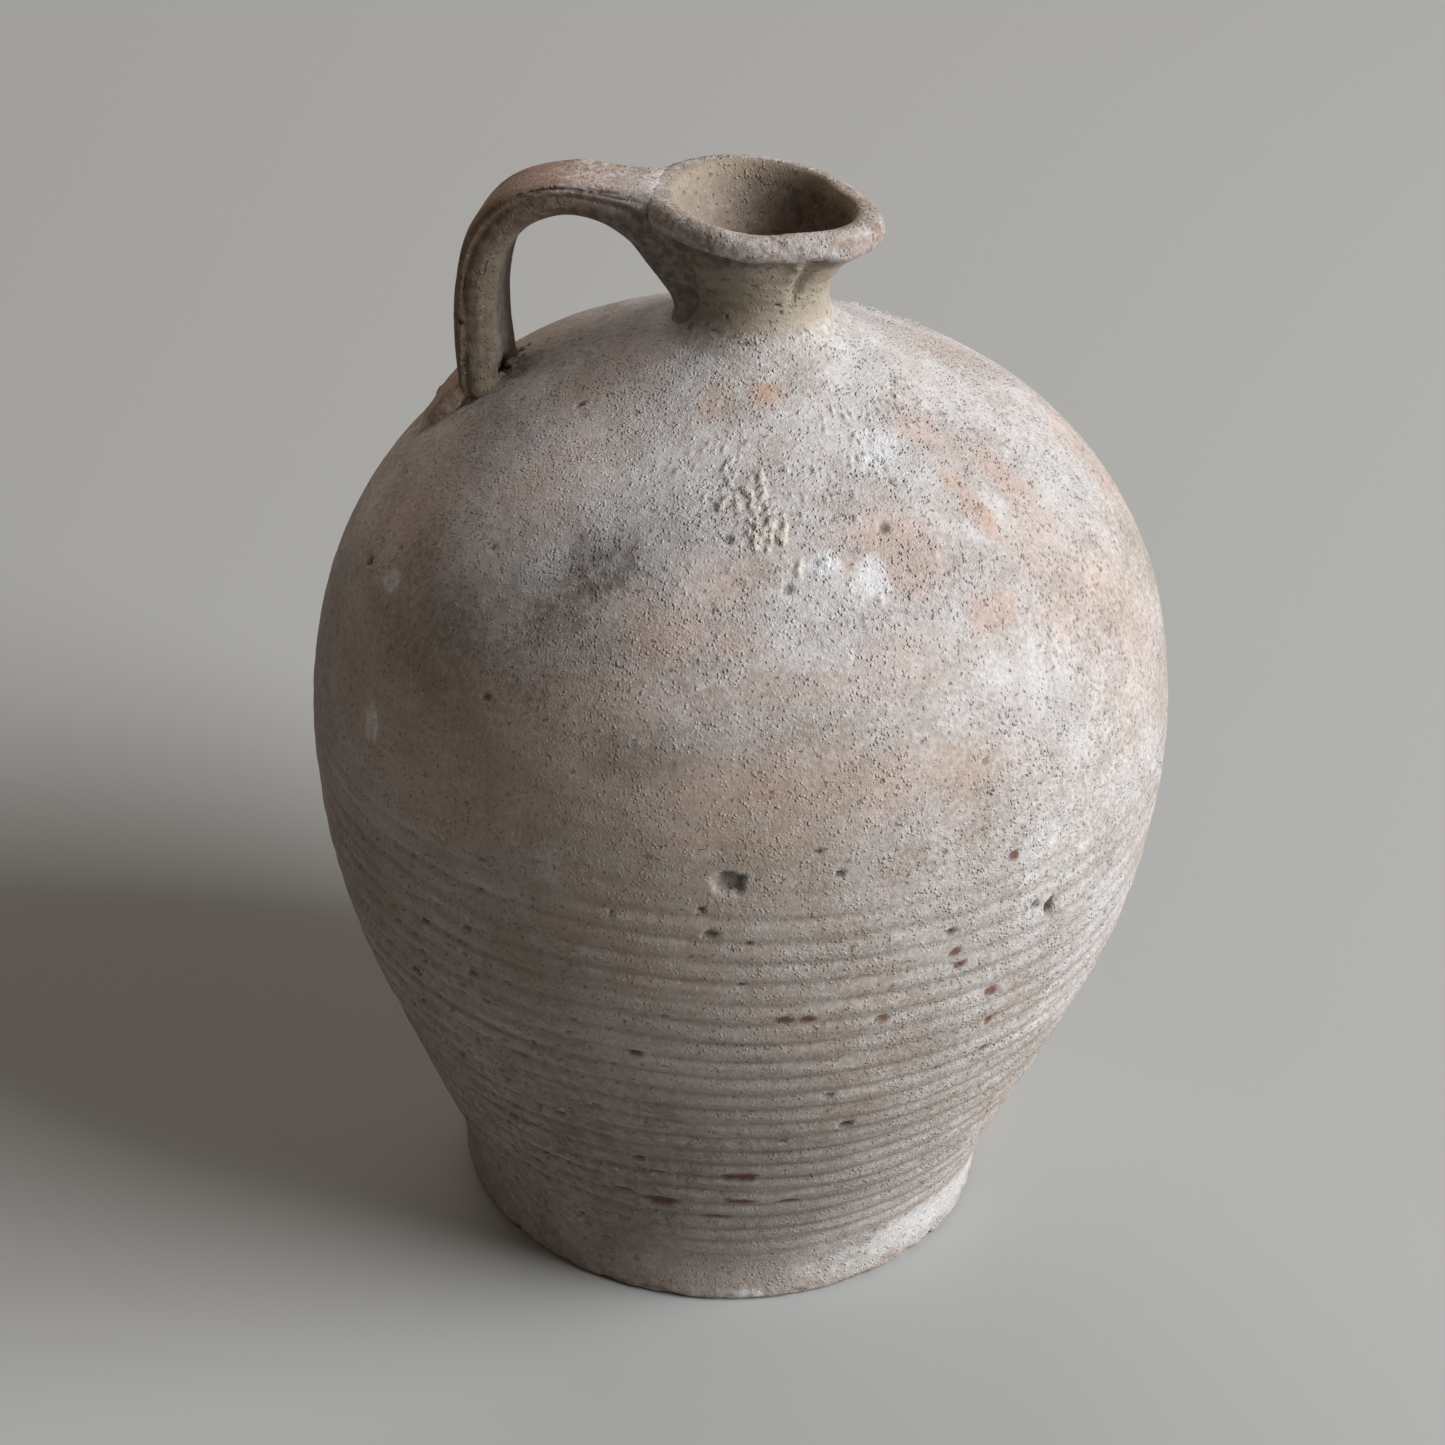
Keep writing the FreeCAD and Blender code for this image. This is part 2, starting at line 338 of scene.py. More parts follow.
def make_piece(name, points, faces, masks, material, replaced):
    """Smooth mesh that stands for a CAD node. Masks it doesn't give are 0 all over."""
    mesh = bpy.data.meshes.new(name)
    mesh.from_pydata((points * MM).tolist(), [], faces)
    mesh.validate()
    for mask in MASKS:
        values = masks.get(mask, np.zeros(len(points)))
        layer = mesh.attributes.new(mask, "FLOAT", "POINT")
        layer.data.foreach_set("value", values.astype(np.float32))
    mesh.polygons.foreach_set("use_smooth", [True] * len(mesh.polygons))
    mesh.materials.append(material)
    mesh.update()
    piece = bpy.data.objects.new(name, mesh)
    link(piece)
    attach(piece, "root")
    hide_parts(*replaced)
    return piece


# ---- body
COLUMNS = 864
OUTER_STEP = 0.95
INNER_STEP = 6
UNDER_STEP = 6
RING_PITCH = 7.5
PIT_COUNT = 170
PIT_SEED = 42
NICK_COUNT = 110
NICK_SEED = 43
IRON_DEPTH = 0.35
FLAKE_DEPTH = 1.5
# Middle of the side that is limy all the way down, and of the toasted patch round the handle's foot
DUSTY_AZIMUTH = -28
TOASTED_HEIGHT = 254

# Chips in the wall: azimuth, height, width along the wheel, height of the chip, depth
CHIPS = (
    (-80.6, 190, 9.6, 7.4, 2.3), (-70, 199, 3, 1.8, 1), (-67, 192, 3.5, 2, 1), (-52, 167, 4, 2.4, 1.4),
    (-36, 162, 4, 7.5, 2), (-39, 166, 3, 3, 1.4), (-62, 93, 5, 3, 1.6), (-84, 181, 2.6, 2, 1.2),
    (-151, 234, 3.6, 3, 2.2), (-118, 66, 5, 2.4, 1.6), (-112, 58, 3.6, 2, 1.3), (-104, 88, 3.6, 2, 1.2),
    (-128, 122, 5.5, 2.4, 1.6), (-132, 96, 4, 2.2, 1.4), (-20, 140, 3.6, 2.4, 1.4), (12, 176, 5, 3, 1.8),
    (40, 120, 6, 3, 2), (75, 205, 4.5, 3, 1.6), (98, 90, 5, 2.5, 1.6), (128, 150, 6, 3.5, 2.2),
    (150, 60, 4.5, 2.5, 1.5), (-160, 170, 4, 2.4, 1.4), (-78, 171, 2.4, 1.6, 0.9),
    (-95, 176, 2, 1.5, 0.9),
)
# Spots where iron in the clay has bled: azimuth, height, width along the wheel, height of the spot
IRON_SPOTS = (
    (-43, 186, 2.6, 1.8), (-51, 159, 2.6, 2), (-50, 154, 3, 1.6), (-44, 139, 3, 2), (-43, 126, 2.2, 2),
    (-42, 113, 2.4, 1.6), (-73, 143, 3.4, 2), (-70, 143, 2.8, 2), (-60, 140, 2.6, 1.8),
    (-92, 125, 2.6, 1.8), (-77, 67, 7, 3.6), (-90, 50, 6, 2.4), (-77, 53, 6.5, 1.8), (-81, 44, 6, 1.4),
    (-68, 52, 6, 1.6), (-97, 52, 5, 2), (-36, 162, 2, 3), (20, 130, 4, 2.4), (55, 170, 3, 2),
    (83, 110, 5, 2.4), (110, 60, 4, 2.4), (140, 190, 3, 2), (-150, 110, 4, 2.2), (-170, 80, 5, 2),
)
# How far a stain spreads beyond its spot
IRON_SPREAD = 1.6
# Toasted orange patches: azimuth, height, reach along the wheel, reach up and down, strength
BLUSHES = (
    (-30, 268, 5, 9, 1), (-51, 266, 16, 9, 0.75), (-17, 269, 9, 9, 0.7), (-23, 279, 8, 8, 0.6),
    (-82, 251, 9, 5, 0.55), (-16, 243, 24, 16, 0.5), (-86, 262, 12, 6, 0.4), (-22, 256, 18, 9, 0.5),
    (-127, 272, 16, 12, 0.45), (-12, 222, 20, 26, 0.35), (-66, 241, 42, 4, 0.35), (-75, 294, 6, 4, 0.9),
    (-97, 290, 5, 4, 0.7), (-148, 285, 12, 8, 0.6), (-150, 250, 24, 26, 0.5), (-140, 225, 26, 30, 0.4),
    (-92, 252, 16, 8, 0.7), (-70, 216, 60, 9, 0.45), (-108, 222, 26, 12, 0.4), (-58, 246, 9, 6, 0.6),
    (-38, 250, 10, 5, 0.6), (-122, 205, 30, 26, 0.3), (-88, 204, 44, 7, 0.3), (20, 250, 26, 18, 0.5),
    (60, 230, 30, 24, 0.45), (105, 262, 28, 16, 0.5), (140, 240, 30, 24, 0.5), (160, 262, 20, 18, 0.6),
    (175, 235, 26, 24, 0.5), (35, 278, 18, 10, 0.4), (-100, 235, 30, 10, 0.35),
)
# Thick cream crust, in the same order
CRUSTS = (
    (-82, 277, 8, 4, 0.8), (-76, 272, 8, 4.5, 1), (-69, 266, 8, 4, 0.75), (-20, 285, 14, 8, 0.6),
    (-45, 282, 14, 8, 0.5), (-90, 279, 16, 7, 0.4), (-60, 276, 18, 8, 0.45), (-4, 272, 16, 9, 0.4),
    (-45, 262, 18, 7, 0.4), (-59, 256, 18, 6, 0.45), (-74, 262, 44, 20, 0.2), (70, 270, 16, 10, 0.45),
    (115, 276, 14, 8, 0.45),
)
# White lime blooms, in the same order
BLOOMS = (
    (-58, 262, 6, 4, 0.95), (-66, 266, 5, 3, 0.8), (-136, 201, 5, 7, 0.7), (-143, 236, 5, 4, 0.7),
    (-73, 3, 8, 3, 1), (-37, 182, 34, 22, 0.35), (-27, 195, 40, 26, 0.35), (-86, 240, 4, 3, 0.5),
    (-42, 280, 10, 6, 0.6), (-100, 274, 30, 9, 0.35), (-25, 12, 34, 10, 1), (-48, 10, 26, 8, 0.6),
    (60, 190, 30, 20, 0.4), (110, 210, 36, 18, 0.4), (30, 230, 20, 12, 0.5),
)
# Dark patches, in the same order: smoke on the shoulder, painted shade in those low on the left and round
# the back, on the side away from the lamp, and partly painted shadow of the handle in those under its arch
SMOKE_AND_SHADE_PATCHES = (
    (-106, 260, 14, 9, 1), (-110, 251, 16, 9, 0.7), (-126, 239, 26, 16, 0.45), (-93, 224, 18, 9, 0.3),
    (-160, 190, 44, 40, 0.5), (-140, 140, 46, 40, 0.45), (-130, 90, 40, 34, 0.4),
    (-150, 270, 16, 10, 0.5), (170, 130, 50, 50, 0.4), (120, 110, 40, 40, 0.25), (-177, 276, 10, 4, 1),
    (-171, 283, 16, 8, 0.5), (-108, 62, 74, 66, 0.68), (-128, 60, 50, 54, 0.62), (-84, 70, 52, 52, 0.42),
    (-120, 130, 50, 44, 0.42), (-160, 288, 30, 8, 0.35), (-104, 262, 20, 14, 0.5),
    (-112, 246, 30, 16, 0.4),
)


def patches(azimuth, height, radius, table, raggedness):
    """Strongest of a table's soft patches at each point, with ragged edges."""
    total = np.zeros(len(azimuth))
    for at_azimuth, at_height, width, tall, strength in table:
        across = np.radians(turn_gap(azimuth, at_azimuth)) * radius / width
        upward = (height - at_height) / tall
        distance = np.sqrt(across**2 + upward**2) + raggedness
        total = np.maximum(total, strength * (1 - ramp(distance, 0.35, 1.45)))
    return total


def body_outline():
    """The body's whole outline, and which part each point is on: 0 under, 1 outside, 2 inside."""
    hollow_foot = [(0.5, 0.8), (FOOT_RADIUS - 9, 0.8), (FOOT_RADIUS - 4, 0), (FOOT_RADIUS - 2.6, 0)]
    under = even(np.array(hollow_foot), UNDER_STEP)
    outer = even(outside_outline(), OUTER_STEP)
    inner = even(inside_outline(), INNER_STEP)
    outline = np.concatenate([under[:-1], outer, inner])
    part = np.concatenate([np.zeros(len(under) - 1), np.ones(len(outer)), np.full(len(inner), 2)])
    return outline, part


def outline_normals(outline):
    """Direction out of the clay at each point of the outline."""
    along = np.gradient(outline, axis=0)
    along /= np.linalg.norm(along, axis=1)[:, None] + 1e-9
    return np.stack([along[:, 1], -along[:, 0]], 1)


def finger_rings(points, azimuth, height):
    """Rise of the potter's finger ridges, and how deep in a groove each point is."""
    drift = 1.1 * noise(points, 60, 5) + 0.5 * noise(points, 18, 6)
    phase = np.pi * ((BELLY_HEIGHT - height + drift) / RING_PITCH + azimuth / 360)
    ridge = np.abs(np.sin(phase)) ** 0.8
    stretched = np.stack([
        np.cos(np.radians(azimuth)) * 2.2, np.sin(np.radians(azimuth)) * 2.2, (height + drift) / 2.6], 1)
    fine = noise(stretched, 1, 8)
    finer = noise(stretched * (1.6, 1.6, 2.1), 1, 9)
    strength = ramp(height, 14, 34) * (1 - 0.25 * ramp(height, 120, 165))
    strength *= 1 - ramp(height, 168, 194)
    strength *= 0.85 + 0.35 * noise(points, 45, 7)
    rise = strength * (1.15 * (ridge - 0.62) + 0.32 * fine + 0.14 * finer)
    groove = strength * np.clip(1.0 - ridge * 1.5 + 0.35 * fine, 0, 1)
    return rise + 0.07 * (1 - strength) * fine, groove


def mark_distance(azimuth, height, radius, mark):
    """Distance from a mark's middle: 0 there and 1 at its edge."""
    at_azimuth, at_height, width, tall = mark[:4]
    across = np.radians(turn_gap(azimuth, at_azimuth)) * radius / (width / 2)
    upward = (height - at_height) / (tall / 2)
    return np.sqrt(across**2 + upward**2)


def scattered_pits(count, seed):
    """Small pits left by burnt-out grit, more of them low on the wall."""
    draw = np.random.default_rng(seed)
    marks = []
    for _ in range(count):
        azimuth = draw.uniform(-180, 180)
        height = 12 + 270 * draw.random() ** 1.5
        width = 1.2 + 2.4 * draw.random() ** 3
        marks.append((azimuth, height, width * 1.3, width * 0.8, 0.2 + 0.22 * width))
    return marks


def weathered_pits(count, seed):
    """Short dark nicks crowded on the low left of the wall."""
    draw = np.random.default_rng(seed)
    marks = []
    for _ in range(count):
        width = 1.6 + 3.0 * draw.random() ** 2
        azimuth = -118 + 16 * draw.normal()
        height = 95 + 34 * draw.normal()
        marks.append((azimuth, max(height, 20), width, 1.2, 0.35 + 0.14 * width))
    return marks


def make_body(material):
    outline, part = body_outline()
    normals = outline_normals(outline)
    rows = len(outline)
    azimuth = np.tile(np.arange(COLUMNS) * 360.0 / COLUMNS - 180, rows)
    radius = np.repeat(outline[:, 0], COLUMNS)
    height = np.repeat(outline[:, 1], COLUMNS)
    out = np.repeat(normals[:, 0], COLUMNS)
    up = np.repeat(normals[:, 1], COLUMNS)
    outside = np.repeat(part, COLUMNS) == 1
    turn = np.radians(azimuth)
    points = np.stack([radius * np.cos(turn), radius * np.sin(turn), height], 1)
    # The outside's points, and their azimuths, heights and radii
    p = points[outside]
    a, h, r = azimuth[outside], height[outside], radius[outside]
    off_floor = ramp(h, 0, 2)

    rings, groove = finger_rings(p, a, h)
    crust = patches(a, h, r, CRUSTS, 0.45 * cloud(p, 7, 21))
    blush = patches(a, h, r, BLUSHES, 0.5 * cloud(p, 14, 22))
    bloom = patches(a, h, r, BLOOMS, 0.55 * cloud(p, 9, 23))
    # Smoke, with painted shade and shadow where the table puts it
    smoke = patches(a, h, r, SMOKE_AND_SHADE_PATCHES, 0.5 * cloud(p, 18, 24))
    dusty = 0.8 * bell(turn_gap(a, DUSTY_AZIMUTH), 44) * (0.8 + 0.6 * cloud(p, 26, 27))
    dusty *= 0.6 + 0.4 * ramp(h, 60, 200)
    lime = ramp(h, 205, 268) * (0.75 + 0.5 * cloud(p, 30, 25)) + 0.35 * ramp(cloud(p, 22, 26), 0, 0.7)
    lime = np.clip(np.maximum(lime, dusty), 0, 1)
    toast = 0.6 * bell(turn_gap(a, HANDLE_AZIMUTH), 15) * bell(h - TOASTED_HEIGHT, 24)
    toast *= 1 + 0.8 * cloud(p, 12, 28)
    lime *= 1 - 0.6 * toast
    move = (rings + clay_relief(p, lime, crust)) * off_floor

    # Each hole is darkened inside with painted shade, less so in the widest chips, and a large one has a
    # chalky rim
    hole = np.zeros(len(p))
    rim = np.zeros(len(p))
    ragged = 0.35 * noise(p, 2.6, 41)
    for mark in list(CHIPS) + scattered_pits(PIT_COUNT, PIT_SEED) + weathered_pits(NICK_COUNT, NICK_SEED):
        window = np.abs(h - mark[1]) < mark[3] * 1.6 + 1.2
        window &= np.abs(turn_gap(a, mark[0])) * np.radians(1) * r < mark[2] * 1.6 + 1.2
        index = np.nonzero(window)[0]
        distance = mark_distance(a[index], h[index], r[index], mark) + ragged[index]
        inside = 1 - ramp(distance, 0.55, 1.1)
        move[index] -= mark[4] * inside
        darkness = min(1, mark[4] / 1.1) * (1 - 0.45 * (mark[2] > 6))
        hole[index] = np.maximum(hole[index], inside * darkness)
        edge = ramp(distance, 0.9, 1.05) * (1 - ramp(distance, 1.08, 1.35)) * (mark[2] > 3)
        rim[index] = np.maximum(rim[index], edge)
    iron = np.zeros(len(p))
    for mark in IRON_SPOTS:
        index = np.nonzero(np.abs(h - mark[1]) < mark[3] * 3)[0]
        distance = mark_distance(a[index], h[index], r[index], mark) / IRON_SPREAD + 0.9 * ragged[index]
        iron[index] = np.maximum(iron[index], 1 - ramp(distance, 0.75, 1.2))
    move -= IRON_DEPTH * iron

    # The foot's edge has lost flakes all round
    squeezed = p * (1, 1, 4)
    flake = ramp(cloud(squeezed, 9, 51), 0.05, 0.55) * (1 - ramp(h, 1.5, 5.5))
    move -= FLAKE_DEPTH * flake * ramp(h, -0.1, 0.9)
    move += 0.25 * noise(p, 3, 52) * (1 - ramp(h, 3, 8)) * off_floor

    shift = np.zeros(len(points))
    shift[outside] = move
    points[:, 0] += shift * out * np.cos(turn)
    points[:, 1] += shift * out * np.sin(turn)
    points[:, 2] = np.maximum(points[:, 2] + shift * up, 0)

    def whole(values, elsewhere=0.0):
        """The outside's values, with one value under and inside."""
        full = np.full(len(points), elsewhere)
        full[outside] = values
        return full

    cream = np.clip(1.5 * crust * (0.25 + 0.75 * granules(p, crust)), 0, 1)
    # The inside and the underside are evenly darkened and browned
    masks = {
        "groove": whole(groove), "crust": whole(cream), "blush": whole(blush), "bloom": whole(bloom),
        "smoke": whole(smoke, 0.7), "lime": whole(lime), "hole": whole(hole), "chalk": whole(rim),
        "iron": whole(iron), "toast": whole(toast, 0.5), "foot": whole((1 - ramp(h, 4, 26)) + 0.6 * flake),
    }
    faces = capped_faces(rows, COLUMNS)
    return make_piece("jug_body", points, faces, masks, material, ["body"])


# ---- neck with its lip and spout
NECK_STEP = 0.55
NECK_COLUMNS = 320
NEAR_SIDE_AZIMUTH = -85
DARK_SIDE_AZIMUTH = -140
LIP_UNDERSIDE = 31.6
# Short tears in the wall above the seat, and pinholes: azimuth, height, width, height of the tear
TEARS = (
    (-100, 5.6, 7, 0.8), (-114, 6.4, 6, 0.7), (-88, 5, 6, 0.7), (-107, 11, 1.3, 1.3), (-57, 20, 3.4, 0.9),
    (-84, 22, 3, 0.8), (-122, 17, 5, 0.8), (-130, 12, 4, 0.8), (-66, 15, 3, 0.8), (30, 5, 4, 1),
    (130, 9, 4, 1), (75, 16, 2.4, 1), (-62, 13, 1.4, 1.2), (-105, 23, 4, 0.8),
)


def make_neck(material):
    # Closed outline of the wall: height above the seat, radius, how far drawn, and 1 on its inner side
    loop = [(*row, 0) for row in NECK_OUTSIDE] + [(*row, 1) for row in NECK_INSIDE]
    profile = smooth_path(loop, NECK_STEP, closed=True)
    rows = len(profile)
    azimuth = np.tile(np.arange(NECK_COLUMNS) * 360.0 / NECK_COLUMNS - 180, rows)
    rise, mean, drawn, inner = (np.repeat(profile[:, k], NECK_COLUMNS) for k in range(4))
    draw = SPOUT_DRAW_OUTSIDE * (1 - inner) + SPOUT_DRAW_INSIDE * inner
    pinch = PINCH_DEPTH_OUTSIDE * (1 - inner) + PINCH_DEPTH_INSIDE * inner
    reach = neck_reach(mean, drawn, draw, pinch, azimuth)
    turn = np.radians(azimuth)
    away = turn_gap(azimuth, SPOUT_AZIMUTH)
    near_side = bell(turn_gap(azimuth, NEAR_SIDE_AZIMUTH), 45)
    heel = HEEL_THICKENING * handle_heel(azimuth) * drawn
    reach += (1.3 * near_side * ramp(rise, 26, 40) - heel) * inner
    # The drawn tip dips a little, and the lip waves where fingers held it
    wave = 0.4 * np.cos(np.radians(3 * azimuth + 40))
    dip = wave - bell(away, 26) - 0.5 - 0.7 * near_side
    height = SEAT_HEIGHT + rise + dip * ramp(rise, 25, 41)
    points = np.stack([reach * np.cos(turn) + LIP_SHIFT * drawn, reach * np.sin(turn), height], 1)

    rise = rise - NECK_RISE * ramp(rise, 2, 9)
    across = np.gradient(profile[:, :2], axis=0)
    across /= np.linalg.norm(across, axis=1)[:, None] + 1e-9
    out = np.repeat(across[:, 0], NECK_COLUMNS)
    up = np.repeat(-across[:, 1], NECK_COLUMNS)
    outer = np.where(inner > 0.5, 0.0, 1.0)
    lip = ramp(rise, 31.5, 33.5) * outer
    lime = (1 - ramp(rise, 2, 11)) * (0.75 + 0.5 * cloud(points, 30, 25))
    lime += 0.45 * lip * (1 + cloud(points, 7, 61))
    lime = np.clip(lime * outer, 0, 1)
    crust = 0.3 * lip * ramp(cloud(points, 6, 60), 0.1, 0.7)
    move = clay_relief(points, lime, crust) * (1 - 0.4 * inner)
    move += 0.12 * lip * sandy(points)
    # Wiping marks that run round the neck
    wiped = np.stack([azimuth / 24, (rise + 2.0 * np.sin(np.radians(azimuth + 60))) / 2.6, inner], 1)
    bare = outer * ramp(rise, 6, 12) * (1 - lip)
    move += 0.3 * bare * noise(wiped, 1, 62)
    move += 0.14 * bare * noise(wiped * (1, 2.3, 1), 1, 69)
    left_half = bell(turn_gap(azimuth, DARK_SIDE_AZIMUTH), 48)
    undercut = bell(rise - LIP_UNDERSIDE, 1.5) * outer
    move -= 1.3 * undercut * left_half * (0.8 + 0.5 * cloud(points, 6, 58))
    # A crease and a wad of clay where the spout was pinched out on the near side
    crease = bell(away + 34 - 0.5 * (rise - 24), 4.5) * outer
    crease *= ramp(rise, 12, 22) * (1 - ramp(rise, 31, 34))
    wad = bell(away + 41, 5) * bell(rise - 30, 2.6) * outer
    lobe = bell(away + 20, 9) * bell(rise - 31.5, 3.2) * outer
    move += -1.7 * crease + 1.2 * wad * (1 + 0.7 * noise(points, 2.4, 63)) + 1.5 * lobe
    hole = np.zeros(len(points))
    wander = 0.55 * noise(points, 3.2, 64)
    for at_azimuth, at_rise, width, tall in TEARS:
        side = np.radians(turn_gap(azimuth, at_azimuth)) * reach / (width / 2)
        distance = np.sqrt(side**2 + ((rise - at_rise + wander) / (tall / 2)) ** 2)
        inside = (1 - ramp(distance, 0.4, 1.2)) * outer
        move -= (0.2 + 0.5 * ramp(rise, 6, 10)) * inside
        # Painted shade darkens each tear
        hole = np.maximum(hole, 0.6 * inside)
    points[:, 0] += move * out * np.cos(turn)
    points[:, 1] += move * out * np.sin(turn)
    points[:, 2] += move * up

    # Painted shade inside the mouth, strongest on the spout's side, and deep down the throat; soot and
    # painted shadow in a band under the lip, strongest on the left; painted shade on the side of the neck
    # away from the lamp; and a little mottled soot
    shaded = bell(turn_gap(azimuth, 22), 56) * (1 - ramp(rise, 33, 38))
    hole = np.maximum(hole, 0.6 * inner * shaded)
    ragged = 0.35 * cloud(points, 5, 70)
    shadow_band = bell(rise - 31.2 + 2.2 * left_half, 1.3 + 2.2 * left_half) * outer
    smoke = shadow_band * (0.15 + 2.0 * left_half + 1.5 * ragged)
    smoke += inner * (0.42 + bell(turn_gap(azimuth, 30), 62)) * (1 - ramp(rise, 34, 39))
    smoke += inner * (1 - ramp(rise, 8, 24))
    smoke += 0.45 * outer * ramp(turn_gap(-60, azimuth), 0, 70) * (1 - 0.6 * lip) * ramp(rise, 0, 6)
    smoke += 0.25 * np.clip(cloud(points, 10, 59), 0, 1) * outer * ramp(rise, 4, 10)
    olive = outer * (1 - lip) * ramp(rise, 3, 10) * (0.45 + 0.5 * cloud(points, 14, 65))
    olive = np.maximum(olive, 0.3 * inner * ramp(rise, 30, 36))
    toast = 0.5 * inner + 0.35 * lip + 0.3 * outer * ramp(rise, 5, 12)
    masks = {
        "crust": crust, "lime": lime, "hole": hole,
        "blush": 0.3 * outer * ramp(cloud(points, 12, 66), 0.2, 0.8),
        "bloom": 0.4 * lip * ramp(cloud(points, 6, 67), 0, 0.6),
        "iron": 0.35 * lip * ramp(cloud(points, 3.4, 68), 0.42, 0.7),
        "smoke": np.clip(smoke, 0, 1), "olive": np.clip(olive, 0, 1), "toast": np.clip(toast, 0, 1),
    }
    faces = grid_faces(rows, NECK_COLUMNS, wrap_rows=True)
    return make_piece("jug_neck_and_spout", points, faces, masks, material, ["neck_and_spout"])


# ---- handle
# Stations along the strap's middle line: distance out from the axis, height, climb, width, thickness
HANDLE_STATIONS = (
    (13, 306, 60, 20, 20), (23.5, 320, 46, 25.5, 20.5), (34, 328.6, 22, 26.5, 16.6),
    (46, 331.8, 7, 24.5, 11.4), (58, 331.8, -14, 24, 11.2), (70.4, 326.2, -38, 24, 13.6),
    (78.5, 315.6, -62, 24, 14.4), (81.6, 302, -84, 24, 14.2), (81.6, 288, -93, 25, 14.3),
    (80.4, 274, -96, 27, 14.6), (78.6, 256, -97, 29, 15),
)
HANDLE_STEP = 0.6
HANDLE_COLUMNS = 144
STRAP_SQUARENESS = 0.62
NECK_FILLET = 7
SHOULDER_FILLET = 5
LEAST_WALL = 1.6
LIP_TOP = 41
# Cracks and pinholes: run along the strap, section angle, length, width, depth
CRACKS = (
    (56, 141, 26, 1.2, 0.9), (50, 150, 15, 0.9, 0.7), (62, 154, 14, 0.7, 0.5), (43, 133, 12, 1, 0.6),
    (39, 146, 10, 0.8, 0.5), (107, 160, 1.7, 1.7, 1.2), (129, 176, 1.2, 8, 0.9), (118, 150, 4, 1, 0.4),
    (75, 40, 16, 1.2, 0.7), (100, 85, 18, 1, 0.4), (88, 190, 7, 0.8, 0.3), (96, 168, 9, 0.7, 0.3),
)
# The gap at the strap's foot: depth, height, and how far it lies to the near side
CAVE_DEPTH = 4
CAVE_HEIGHT = 273.5
CAVE_SIDE = 2.5


def keep_in_wall(points):
    """Points inside the neck's hollow moved out into its wall, and those over the lip down to its top."""
    rise = points[:, 2] - SEAT_HEIGHT
    hollow = np.array(NECK_INSIDE[:-2])[::-1]
    radius = np.interp(rise, hollow[:, 0], hollow[:, 1])
    drawn = np.interp(rise, hollow[:, 0], hollow[:, 2])
    azimuth = np.degrees(np.arctan2(points[:, 1], points[:, 0]))
    least = neck_reach(radius, drawn, SPOUT_DRAW_INSIDE, PINCH_DEPTH_INSIDE, azimuth)
    least += (-LIP_SHIFT - HEEL_THICKENING * handle_heel(azimuth)) * drawn + LEAST_WALL
    reach = np.hypot(points[:, 0], points[:, 1])
    push = np.where((reach < least) & (rise > -2), least / np.maximum(reach, 1e-6), 1.0)
    moved = points * np.stack([push, push, np.ones(len(push))], 1)
    moved[:, 2] = np.where(reach < 29, np.minimum(moved[:, 2], SEAT_HEIGHT + LIP_TOP), moved[:, 2])
    return moved


